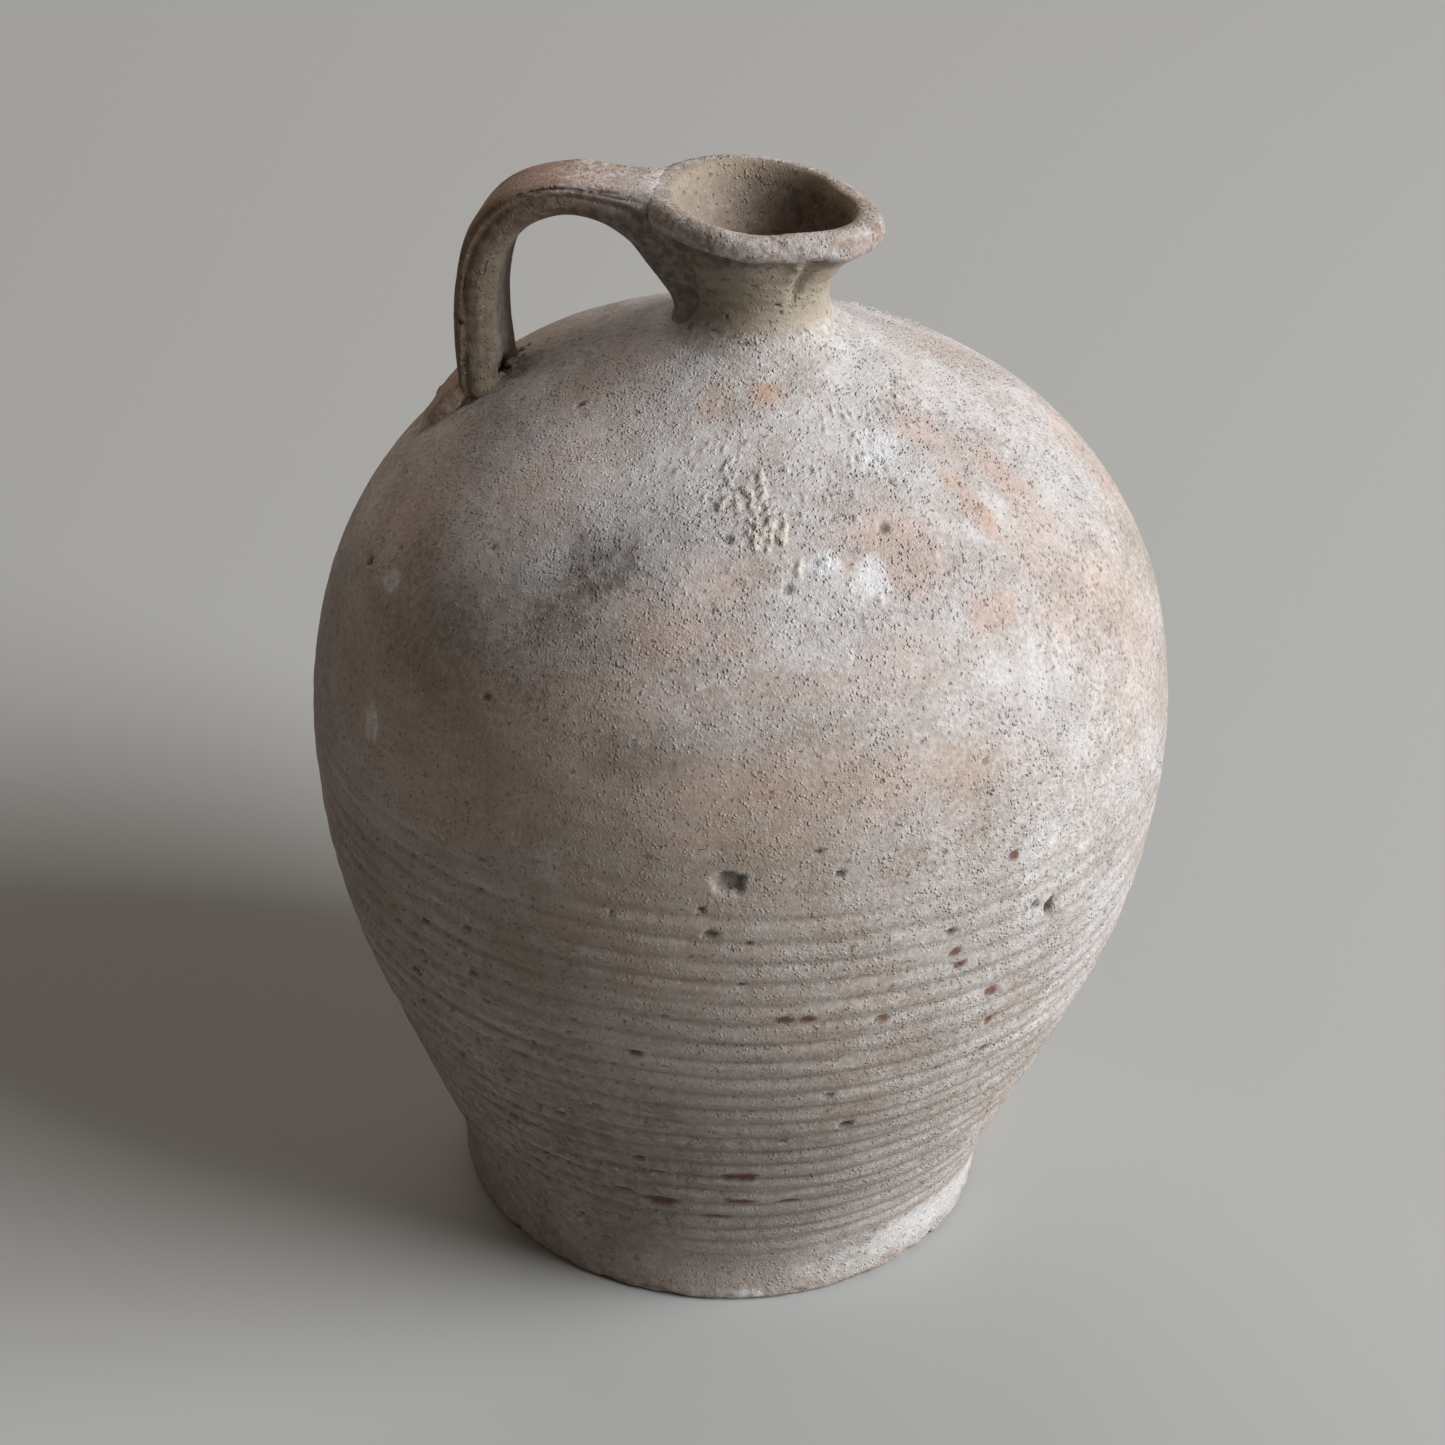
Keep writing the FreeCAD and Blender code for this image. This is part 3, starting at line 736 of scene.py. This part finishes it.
def make_handle(material):
    stations = smooth_path(HANDLE_STATIONS, HANDLE_STEP)
    rows = len(stations)
    psi = np.tile(np.arange(HANDLE_COLUMNS) * 2 * np.pi / HANDLE_COLUMNS, rows)
    out, height, climb, width, thick = (np.repeat(stations[:, k], HANDLE_COLUMNS) for k in range(5))
    along = np.repeat(run_along(stations[:, :2]), HANDLE_COLUMNS)
    side = np.sign(np.cos(psi)) * np.abs(np.cos(psi)) ** STRAP_SQUARENESS
    deep = np.sign(np.sin(psi)) * np.abs(np.sin(psi)) ** STRAP_SQUARENESS
    turn = np.radians(climb)
    free = ramp(along, 18, 34)
    # The strap was pulled wet: hollow along both faces, with long ridges down its edges
    hollow = 0.8 * np.abs(np.sin(psi)) ** 6 * free
    local = np.stack([side * width / 2, deep * thick / 2], 1)
    local[:, 1] -= np.sign(deep) * hollow
    degrees = np.degrees(psi)
    streak_at = np.stack([local[:, 0] / 3.2, local[:, 1] / 2.4, along / 46], 1)
    streak = noise(streak_at, 1, 71) + 0.5 * noise(streak_at * (1.9, 1.9, 1.4), 1, 72)
    facing = np.stack([np.cos(psi) * thick, np.sin(psi) * width], 1)
    facing /= np.linalg.norm(facing, axis=1)[:, None]
    near = np.clip(-np.cos(psi), 0, 1) ** 2
    wander = degrees + 5 * noise(np.stack([along / 30, along * 0, along * 0], 1), 1, 77)
    first_ridge = bell(wander - 158, 7.5)
    second_ridge = bell(wander - 183, 8)
    between = bell(wander - 170, 5.5)
    outer_line = bell(wander - 145, 6)
    band = bell(wander - 208, 17)
    edge_ridges = 0.5 * first_ridge + 0.45 * second_ridge - 0.35 * between - 0.35 * outer_line - 0.55 * band
    wave = 0.5 * noise(np.stack([along / 22, side * 0.7, deep * 0.7], 1), 1, 73)
    local += facing * (0.26 * streak * (0.4 + 0.6 * free) + edge_ridges * free + wave)[:, None]

    spot = np.stack([
        -out + local[:, 1] * np.sin(turn), local[:, 0], height + local[:, 1] * np.cos(turn)], 1)
    normal = np.stack([facing[:, 1] * np.sin(turn), facing[:, 0], facing[:, 1] * np.cos(turn)], 1)

    # Both roots are smoothed into the jug
    gap, _ = skin_gap(spot)
    top_root = 1 - ramp(along, 40, 60)
    inward = np.clip(-np.sin(psi), 0, 1)
    fillet = top_root * NECK_FILLET + (1 - top_root) * (SHOULDER_FILLET * (1 - inward) + 0.8)
    depth = np.clip(fillet - np.clip(gap, 0, None), 0, fillet)
    spread = fillet - np.sqrt(np.clip(fillet**2 - depth**2, 0, None))
    lip_side = top_root * np.clip(np.sin(psi), 0, 1)
    spread *= 1 - 0.75 * lip_side
    near_root = gap < fillet
    moved = spot + normal * spread[:, None]
    new_gap, skin_normal = skin_gap(moved)
    target = np.where(gap > 0, gap, np.maximum(gap, -0.9))
    moved = moved + skin_normal * (target - new_gap)[:, None] * near_root[:, None]
    spot = np.where(near_root[:, None], moved, spot)
    spot = keep_in_wall(spot)

    lime = np.clip(np.sin(psi) * 1.4, 0, 1) * (1 - ramp(along, 50, 66)) * (0.7 + 0.6 * cloud(spot, 8, 74))
    lime = np.clip(lime * ramp(spot[:, 2], 322, 332), 0, 1)
    move = (0.03 + 0.14 * lime) * sandy(spot)
    hole = np.zeros(len(spot))
    half_girth = (width + thick) * 0.25
    broken = 0.45 * noise(spot, 2, 75)
    # Each crack and pinhole sinks in and is darkened with painted shade
    for at_run, at_angle, length, across, deepness in CRACKS:
        sideways = np.radians(turn_gap(degrees, at_angle)) * half_girth / (across / 2)
        distance = np.sqrt(((along - at_run) / (length / 2)) ** 2 + sideways**2) + broken
        inside = 1 - ramp(distance, 0.5, 1.1)
        move -= deepness * inside
        hole = np.maximum(hole, inside)
    # Open gap on the inner face of the strap's foot, where the clay never closed, darkened with painted
    # shade
    cave = np.exp(-(((spot[:, 1] + CAVE_SIDE) / 7) ** 4)) * bell(spot[:, 2] - CAVE_HEIGHT, 4.2)
    cave *= ramp(-np.sin(psi), 0.3, 0.7) * (0.8 + 0.5 * noise(spot, 3, 78))
    move -= CAVE_DEPTH * cave
    hole = np.maximum(hole, ramp(cave, 0.2, 0.5))
    spot = spot + normal * move[:, None]

    outer_face = ramp(np.sin(psi), 0, 0.8)
    inner_face = ramp(-np.sin(psi), 0.55, 0.95)
    far_edge = np.clip(np.cos(psi), 0, 1)
    bend = ramp(along, 30, 48)
    low_run = ramp(along, 70, 96)
    olive = (0.95 * band + 0.5 * second_ridge + 0.35 * between) * (0.3 + 0.7 * low_run) * bend
    olive += 0.3 * inner_face
    olive *= 1 - 0.5 * ramp(along, 126, 136)
    # Painted shade on the inner face, in the grooves beside the near edge's ridges and over the near face,
    # broken up by the streaks
    smoke = 0.8 * inner_face * (0.75 + 0.5 * streak) + 0.55 * outer_line * bend + 0.4 * between * bend
    smoke += 0.45 * ramp(streak, 0.1, 0.9) * near + 0.3 * near * (1 - ramp(along, 30, 60)) + 0.8 * near
    # Darker at the strap's top root, between its outer face and near edge
    top_root_darkening = bell(along - 40, 12) * bell(degrees - 142, 24)
    smoke += 0.7 * top_root_darkening * (0.7 + 0.8 * cloud(spot, 5, 79))
    # Toasted brown on the outer face and the far edge, and painted shade in the same brown over the near
    # face
    toast = (0.9 * outer_face + 0.5 * far_edge + 0.9 * near) * bend * (1 - 0.4 * ramp(along, 108, 124))
    # Painted highlight: pale lime along the crests of the two ridges down the near edge
    light = (0.28 * first_ridge + 0.22 * second_ridge) * bend * (0.6 + 0.6 * streak)
    bloom = 0.75 * lime * ramp(cloud(spot, 7, 76), 0.05, 0.5)
    masks = {
        "crust": 0.15 * lime, "bloom": bloom, "hole": hole, "lime": np.clip(0.55 * lime + light, 0, 1),
        "blush": 0.5 * ramp(along, 118, 134) * outer_face, "smoke": np.clip(smoke, 0, 1),
        "olive": np.clip(olive, 0, 1), "toast": np.clip(toast, 0, 1),
    }
    faces = capped_faces(rows, HANDLE_COLUMNS)
    return make_piece("jug_handle", spot, faces, masks, material, ["handle"])


# ---- clay smeared round the handle's foot
LUTING_OUT = 81.5
LUTING_HALF_THICKNESS = 5.6
LUTING_HALF_WIDTH = 12.6
LUTING_ROWS = 96
LUTING_COLUMNS = 88
# The pad's patch of the shoulder: nearest and farthest from the axis, how far to each side, and the radius
# that turns a distance to the side into an angle
LUTING_NEAREST = 66
LUTING_FARTHEST = 112
LUTING_SIDE = 24
LUTING_TURN_RADIUS = 86
LUTING_RISE = 6.4
LUTING_SINK = 3.0
# Crumbs of clay between the pad and the neck: x, y, size
CRUMBS = (
    (-73.5, 1, 2.3), (-75.5, 9.5, 1.7), (-71.5, -2.5, 1.2), (-74.6, -6.2, 1.5), (-70, 4.8, 0.9),
    (-72.4, 11.5, 1.1), (-68.5, 8.2, 0.7), (-71, 14.5, 0.8), (-74.5, -10.5, 1),
)
CRUMB_RINGS = 7
CRUMB_AROUND = 12


def shoulder_point(out, azimuth, lift):
    """Point on the jug's outer skin at a radius on the shoulder, raised along the skin's normal."""
    upper = BODY_SKIN[BODY_SKIN[:, 1] > BELLY_HEIGHT + 20][::-1]
    along = np.gradient(upper, axis=0)
    along /= np.linalg.norm(along, axis=1)[:, None]
    height = np.interp(out, upper[:, 0], upper[:, 1])
    rise = np.interp(out, upper[:, 0], along[:, 1])
    level = np.interp(out, upper[:, 0], along[:, 0])
    turn = np.radians(azimuth)
    reach = out - rise * lift
    return np.stack([reach * np.cos(turn), reach * np.sin(turn), height + level * lift], -1)


def make_luting(material):
    outs = np.linspace(LUTING_NEAREST, LUTING_FARTHEST, LUTING_ROWS)
    sides = np.linspace(-LUTING_SIDE, LUTING_SIDE, LUTING_COLUMNS)
    out = np.repeat(outs, LUTING_COLUMNS)
    sideways = np.tile(sides, LUTING_ROWS)
    azimuth = HANDLE_AZIMUTH + np.degrees(sideways / LUTING_TURN_RADIUS)
    outward = out - LUTING_OUT
    beyond = np.where(outward > 0, np.clip(outward - LUTING_HALF_THICKNESS, 0, None) / 19.0,
                      np.clip(-outward - LUTING_HALF_THICKNESS + 4.5, 0, None) / 4)
    lateral = np.clip(np.abs(sideways) - LUTING_HALF_WIDTH, 0, None) / (5.5 + 3.5 * (sideways < 0))
    flat = shoulder_point(out, azimuth, np.zeros(len(out)))
    ragged = 0.22 * cloud(flat, 6, 81)
    distance = np.sqrt(beyond**2 + lateral**2) + ragged * ramp(beyond + lateral, 0.1, 0.6)
    height = LUTING_RISE * (1 - ramp(distance, -0.15, 1.05)) ** 1.3 - 0.8
    height += 0.25 * noise(flat, 4, 82) * (height > 0)
    # The patch's border dives under the shoulder
    border_at_ends = np.maximum(
        ramp(out, LUTING_FARTHEST - 4, LUTING_FARTHEST), 1 - ramp(out, LUTING_NEAREST, LUTING_NEAREST + 4))
    rim = np.maximum(ramp(np.abs(sideways), LUTING_SIDE - 3, LUTING_SIDE), border_at_ends)
    top = shoulder_point(out, azimuth, height * (1 - rim) - 2.0 * rim)
    low = shoulder_point(out, azimuth, np.full(len(out), -LUTING_SINK))
    count = len(out)
    points = [top, low]
    faces = []
    for row in range(LUTING_ROWS - 1):
        for column in range(LUTING_COLUMNS - 1):
            a = row * LUTING_COLUMNS + column
            b = a + LUTING_COLUMNS
            faces.append((a, b, b + 1, a + 1))
            faces.append((count + a, count + a + 1, count + b + 1, count + b))
    border = list(range(LUTING_COLUMNS - 1))
    border += [row * LUTING_COLUMNS + LUTING_COLUMNS - 1 for row in range(LUTING_ROWS - 1)]
    border += [count - 1 - k for k in range(LUTING_COLUMNS - 1)]
    border += [(LUTING_ROWS - 1 - row) * LUTING_COLUMNS for row in range(LUTING_ROWS - 1)]
    for here, there in zip(border, border[1:] + border[:1]):
        faces.append((here, there, count + there, count + here))
    total = 2 * count
    ball, ball_faces = crumb_ball()
    for number, (x, y, size) in enumerate(CRUMBS):
        base = shoulder_point(math.hypot(x, y), math.degrees(math.atan2(y, x)), 0.2 * size)
        lump = ball * (1 + 0.45 * noise(ball * 1.3 + number * 7, 1, 83)[:, None])
        points.append(base + lump * size * np.array([1, 1.25, 0.7]))
        faces += [tuple(total + index for index in face) for face in ball_faces]
        total += len(ball)
    points = np.concatenate(points)
    # The pad is toasted where it is thick, limy where it thins out, and darkened with painted shade on the
    # neck's side, under the strap
    crumbs = np.arange(len(points)) >= 2 * count
    neck_side = points[:, 0] > -77
    thick = np.zeros(len(points))
    thick[:count] = ramp(height, 0.2, 5)
    mottled = 0.5 * cloud(points, 7, 84)
    masks = {
        "crust": 0.5 * crumbs,
        "blush": np.where(crumbs, 0.25, 0.3 + 0.2 * thick + mottled),
        "smoke": np.where(crumbs, 0.2, np.where(neck_side, 0.9, 0.22 + 0.4 * mottled)),
        "lime": np.where(crumbs, 0.2, 0.42 * (1 - thick) + 0.12 + 0.5 * mottled),
        "toast": np.where(crumbs, 0.3, 0.3 + 0.35 * thick),
    }
    replaced = ["handle_foot_luting"]
    return make_piece("jug_handle_foot_luting", points, faces, masks, material, replaced)


def crumb_ball():
    """Small closed ball of quads and triangles."""
    rings, around = CRUMB_RINGS, CRUMB_AROUND
    points = [(0, 0, -1)]
    for ring in range(1, rings):
        angle = math.pi * ring / rings
        for step in range(around):
            turn = 2 * math.pi * step / around
            reach = math.sin(angle)
            points.append((reach * math.cos(turn), reach * math.sin(turn), -math.cos(angle)))
    points.append((0, 0, 1))
    faces = []
    top = len(points) - 1
    for step in range(around):
        after = (step + 1) % around
        faces.append((0, 1 + after, 1 + step))
        for ring in range(rings - 2):
            a = 1 + ring * around
            faces.append((a + step, a + after, a + around + after, a + around + step))
        a = 1 + (rings - 2) * around
        faces.append((a + step, a + after, top))
    return np.array(points, float), faces


# ---- clay material
def set_inputs(node, **values):
    """Constants on a node's sockets. An underscore stands for a space in a socket's name."""
    for name, value in values.items():
        node.inputs[name.replace("_", " ")].default_value = value


class Graph:
    """Short names for building a node material."""

    def __init__(self, name):
        self.material = bpy.data.materials.new(name)
        self.material.use_nodes = True
        self.tree = self.material.node_tree
        self.tree.nodes.clear()
        self.where = self.new("TexCoord").outputs["Object"]

    def new(self, kind):
        return self.tree.nodes.new("ShaderNode" + kind)

    def feed(self, socket, value):
        if isinstance(value, bpy.types.NodeSocket):
            self.tree.links.new(value, socket)
        else:
            socket.default_value = value

    def sized(self, scale):
        """Object coordinates multiplied per axis."""
        node = self.new("Mapping")
        self.feed(node.inputs["Vector"], self.where)
        set_inputs(node, Scale=scale)
        return node.outputs["Vector"]

    def noise(self, scale, detail=3, roughness=0.55, where=None):
        node = self.new("TexNoise")
        self.feed(node.inputs["Vector"], where or self.where)
        set_inputs(node, Scale=scale, Detail=detail, Roughness=roughness)
        return node.outputs["Fac"]

    def cells(self, scale):
        node = self.new("TexVoronoi")
        self.feed(node.inputs["Vector"], self.where)
        set_inputs(node, Scale=scale)
        return node.outputs["Distance"]

    def mask(self, name):
        node = self.new("Attribute")
        node.attribute_name = name
        return node.outputs["Fac"]

    def times(self, a, b):
        return self.math("MULTIPLY", a, b)

    def math(self, operation, a, b):
        node = self.new("Math")
        node.operation = operation
        self.feed(node.inputs[0], a)
        self.feed(node.inputs[1], b)
        return node.outputs[0]

    def span(self, value, low, high, to_low=0, to_high=1):
        node = self.new("MapRange")
        node.interpolation_type = "SMOOTHSTEP"
        self.feed(node.inputs["Value"], value)
        set_inputs(node, From_Min=low, From_Max=high, To_Min=to_low, To_Max=to_high)
        return node.outputs["Result"]

    def mix(self, amount, a, b, blend="MIX"):
        node = self.new("Mix")
        node.data_type = "RGBA"
        node.blend_type = blend
        self.feed(node.inputs[0], amount)
        self.feed(node.inputs[6], a)
        self.feed(node.inputs[7], b)
        return node.outputs[2]

    def coat(self, under, mask, strength, tint):
        """A colour laid over another, as strongly as the mask and the strength say."""
        return self.mix(self.times(mask, strength), under, tint)

    def frayed(self, mask, noise, amount):
        """A mask whose edge the noise breaks up."""
        return self.math("ADD", self.mask(mask), self.times(self.math("SUBTRACT", noise, 0.5), amount))

    def finish(self, shader):
        output = self.new("OutputMaterial")
        self.tree.links.new(shader.outputs["BSDF"], output.inputs["Surface"])
        return self.material


BROWN_CLAY = (0.365, 0.293, 0.238, 1)
GREY_CLAY = (0.44, 0.383, 0.350, 1)
PALE_CLAY = (0.52, 0.48, 0.45, 1)
DARK_STREAK = (0.29, 0.235, 0.18, 1)
TOAST_AND_SHADE_BROWN = (0.27, 0.172, 0.115, 1)
OLIVE = (0.385, 0.335, 0.215, 1)
LIME = (0.612, 0.580, 0.570, 1)
BLUSH = (0.53, 0.325, 0.225, 1)
CREAM = (0.71, 0.655, 0.565, 1)
BLOOM = (0.74, 0.735, 0.735, 1)
WORN_FOOT = (0.46, 0.39, 0.335, 1)
GROOVE_DIRT = (0.235, 0.19, 0.142, 1)
SOOT_AND_SHADE_TINT = (0.080, 0.064, 0.052, 1)
PEPPER = (0.15, 0.115, 0.09, 1)
SALT = (0.70, 0.68, 0.65, 1)
CHALK = (0.62, 0.60, 0.57, 1)
IRON = (0.15, 0.072, 0.040, 1)
HOLE_SHADE = (0.085, 0.065, 0.052, 1)
BUMP_DISTANCE = 0.0009
CLAY_SPECULAR = 0.28


def clay(name, warmth):
    """Bare stoneware with lime, toasted patches, grit, pits and smoke, and painted shade and highlight,
    steered by the piece's masks.
    """
    g = Graph(name)
    broad = g.noise(14, 4)
    mottle = g.noise(85, 5, 0.6)
    grit = g.noise(620, 3, 0.65)
    specks = g.noise(330, 2, 0.5)
    streaks = g.noise(9, 4, 0.6, where=g.sized((2, 2, 26)))

    ground = g.mix(g.span(broad, 0.36, 0.64), BROWN_CLAY, GREY_CLAY)
    ground = g.coat(ground, g.span(mottle, 0.42, 0.66), 0.35, PALE_CLAY)
    ground = g.coat(ground, g.span(streaks, 0.45, 0.7), 0.35, DARK_STREAK)
    # Toasted brown, which also lays painted shade on the handle's near face
    ground = g.coat(ground, g.mask("toast"), 0.8, (TOAST_AND_SHADE_BROWN[0] * warmth, *TOAST_AND_SHADE_BROWN[1:]))
    ground = g.coat(ground, g.mask("olive"), 0.75, OLIVE)

    # Lime, which also carries the painted highlight on the handle's edge ridges
    limy = g.span(g.frayed("lime", grit, 1.1), 0.1, 0.9)
    look = g.mix(g.times(limy, g.span(mottle, 0.25, 0.6, 0.5, 0.92)), ground, LIME)
    blush = g.times(g.mask("blush"), g.span(mottle, 0.3, 0.62, 0.3, 0.9))
    look = g.coat(look, blush, 0.82, BLUSH)
    look = g.coat(look, g.span(g.frayed("crust", grit, 1.3), 0.35, 0.9), 0.7, CREAM)
    look = g.coat(look, g.span(g.frayed("bloom", specks, 0.9), 0.2, 0.95), 0.85, BLOOM)
    foot = g.times(g.mask("foot"), g.span(mottle, 0.3, 0.6, 0.2, 0.5))
    look = g.mix(foot, look, WORN_FOOT)

    stain = g.times(g.mask("groove"), g.span(broad, 0.4, 0.62, 0.15, 0.65))
    look = g.mix(stain, look, GROOVE_DIRT)
    # Soot, and painted shade and shadow where the masks put it
    soot_and_shade_amount = g.times(g.mask("smoke"), g.span(specks, 0.3, 0.68, 0.55, 1.1))
    look = g.coat(look, soot_and_shade_amount, 0.72, SOOT_AND_SHADE_TINT)
    pepper = g.span(g.noise(560, 1), 0.68, 0.74)
    look = g.coat(look, pepper, 0.5, PEPPER)
    salt = g.span(g.noise(640, 1, where=g.sized((1, 1, 1.3))), 0.68, 0.76)
    look = g.coat(look, salt, 0.25, SALT)
    look = g.coat(look, g.mask("chalk"), 0.35, CHALK)
    look = g.coat(look, g.mask("iron"), 0.92, IRON)
    # Painted shade inside holes, chips, tears, cracks and the mouth
    look = g.coat(look, g.mask("hole"), 0.8, HOLE_SHADE)
    shade = g.span(grit, 0.3, 0.7, 0.9, 1.08)
    tint = g.new("CombineColor")
    for channel in range(3):
        g.feed(tint.inputs[channel], shade)
    look = g.mix(1, look, tint.outputs[0], "MULTIPLY")

    # Sandy grain, stronger where lime has crusted on
    amount = g.math("ADD", g.times(g.math("ADD", g.mask("lime"), g.mask("crust")), 0.6), 0.45)
    patchy = g.times(amount, g.span(g.noise(48, 3), 0.36, 0.6, 0.4, 1.15))
    grains = g.span(g.cells(720), 0.06, 0.42, 0.85, 0)
    sand = g.times(grains, g.span(g.noise(230, 2), 0.42, 0.56))
    fine = g.times(g.noise(1250, 3, 0.7), 0.8)
    lift = g.times(g.math("ADD", fine, sand), patchy)
    lift = g.math("SUBTRACT", lift, g.times(pepper, 0.4))
    bump = g.new("Bump")
    set_inputs(bump, Strength=1, Distance=BUMP_DISTANCE)
    g.feed(bump.inputs["Height"], lift)

    shader = g.new("BsdfPrincipled")
    set_inputs(shader, Specular_IOR_Level=CLAY_SPECULAR)
    g.feed(shader.inputs["Base Color"], look)
    g.feed(shader.inputs["Roughness"], g.span(mottle, 0.3, 0.7, 0.78, 0.93))
    g.feed(shader.inputs["Normal"], bump.outputs["Normal"])
    return g.finish(shader)


# ---- floor, light and camera
# Lengths are metres here, and azimuth is counted from -Y towards +X. Sensor and lens are millimetres.
CAMERA_AZIMUTH = 10
CAMERA_AWAY = 0.8796
CAMERA_SIDE = -0.0053
CAMERA_HEIGHT = 0.7114
CAMERA_PITCH = 32.04
CAMERA_ROLL = 2.48
CAMERA_CLIP_START = 0.01
CAMERA_CLIP_END = 50
SENSOR = 36
LENS = 83.6
FLOOR_SIZE = 9
FLOOR_COLOUR = (0.42, 0.42, 0.41, 1)
FLOOR_ROUGHNESS = 0.95
FILL_COLOUR = (0.78, 0.66, 0.54, 1)
FILL_STRENGTH = 0.05
WALL_COLOUR = (0.36, 0.355, 0.345, 1)
# Name, azimuth, elevation, distance, size, watts and colour of each lamp
LAMPS = (
    ("window", 84, 32, 4, 2.4, 258, (0.95, 0.975, 1)),
    ("bounce", -70, 50, 2.4, 2.2, 4.8, (1, 0.82, 0.66)),
    ("back", -155, 34, 3, 2.2, 27, (1, 0.92, 0.84)),
)


def make_floor():
    bpy.ops.mesh.primitive_plane_add(size=FLOOR_SIZE, location=(0, 0, 0))
    floor = bpy.context.object
    floor.name = "studio_floor"
    g = Graph("studio_floor")
    shader = g.new("BsdfPrincipled")
    set_inputs(shader, Base_Color=FLOOR_COLOUR, Roughness=FLOOR_ROUGHNESS, Specular_IOR_Level=0)
    floor.data.materials.append(g.finish(shader))


def area_light(name, azimuth, elevation, distance, size, power, tint):
    """Soft square light aimed at the middle of the jug."""
    a, e = math.radians(azimuth), math.radians(elevation)
    target = Vector((0, 0, BELLY_HEIGHT * MM))
    back = Vector((math.sin(a) * math.cos(e), -math.cos(a) * math.cos(e), math.sin(e)))
    data = bpy.data.lights.new(name, "AREA")
    data.size = size
    data.energy = power
    data.color = tint
    light = bpy.data.objects.new(name, data)
    light.location = target + back * distance
    light.rotation_euler = (-back).to_track_quat("-Z", "Y").to_euler()
    link(light)


def make_light():
    """Dim warm fill on the jug, a plain pale wall where the background itself is seen, and the lamps."""
    world = bpy.data.worlds.new("studio")
    world.use_nodes = True
    nodes, links = world.node_tree.nodes, world.node_tree.links
    fill = nodes["Background"]
    set_inputs(fill, Color=FILL_COLOUR, Strength=FILL_STRENGTH)
    wall = nodes.new("ShaderNodeBackground")
    set_inputs(wall, Color=WALL_COLOUR)
    seen = nodes.new("ShaderNodeMixShader")
    links.new(nodes.new("ShaderNodeLightPath").outputs["Is Camera Ray"], seen.inputs[0])
    links.new(fill.outputs[0], seen.inputs[1])
    links.new(wall.outputs[0], seen.inputs[2])
    links.new(seen.outputs[0], nodes["World Output"].inputs["Surface"])
    bpy.context.scene.world = world
    for lamp in LAMPS:
        area_light(*lamp)
    bpy.context.scene.view_settings.view_transform = "Standard"


def make_camera():
    data = bpy.data.cameras.new("camera")
    data.sensor_width = SENSOR
    data.lens = LENS
    data.clip_start = CAMERA_CLIP_START
    data.clip_end = CAMERA_CLIP_END
    camera = bpy.data.objects.new("camera", data)
    round_jug = Matrix.Rotation(math.radians(CAMERA_AZIMUTH), 4, "Z")
    place = Matrix.Translation((CAMERA_SIDE, -CAMERA_AWAY, CAMERA_HEIGHT))
    look = Matrix.Rotation(math.radians(90 - CAMERA_PITCH), 4, "X")
    roll = Matrix.Rotation(math.radians(CAMERA_ROLL), 4, "Z")
    camera.matrix_world = round_jug @ place @ look @ roll
    link(camera)
    bpy.context.scene.camera = camera


make_body(clay("body_clay", 1))
make_neck(clay("neck_clay", 1))
make_handle(clay("handle_clay", 1.1))
make_luting(clay("luting_clay", 1.1))
make_floor()
make_light()
make_camera()
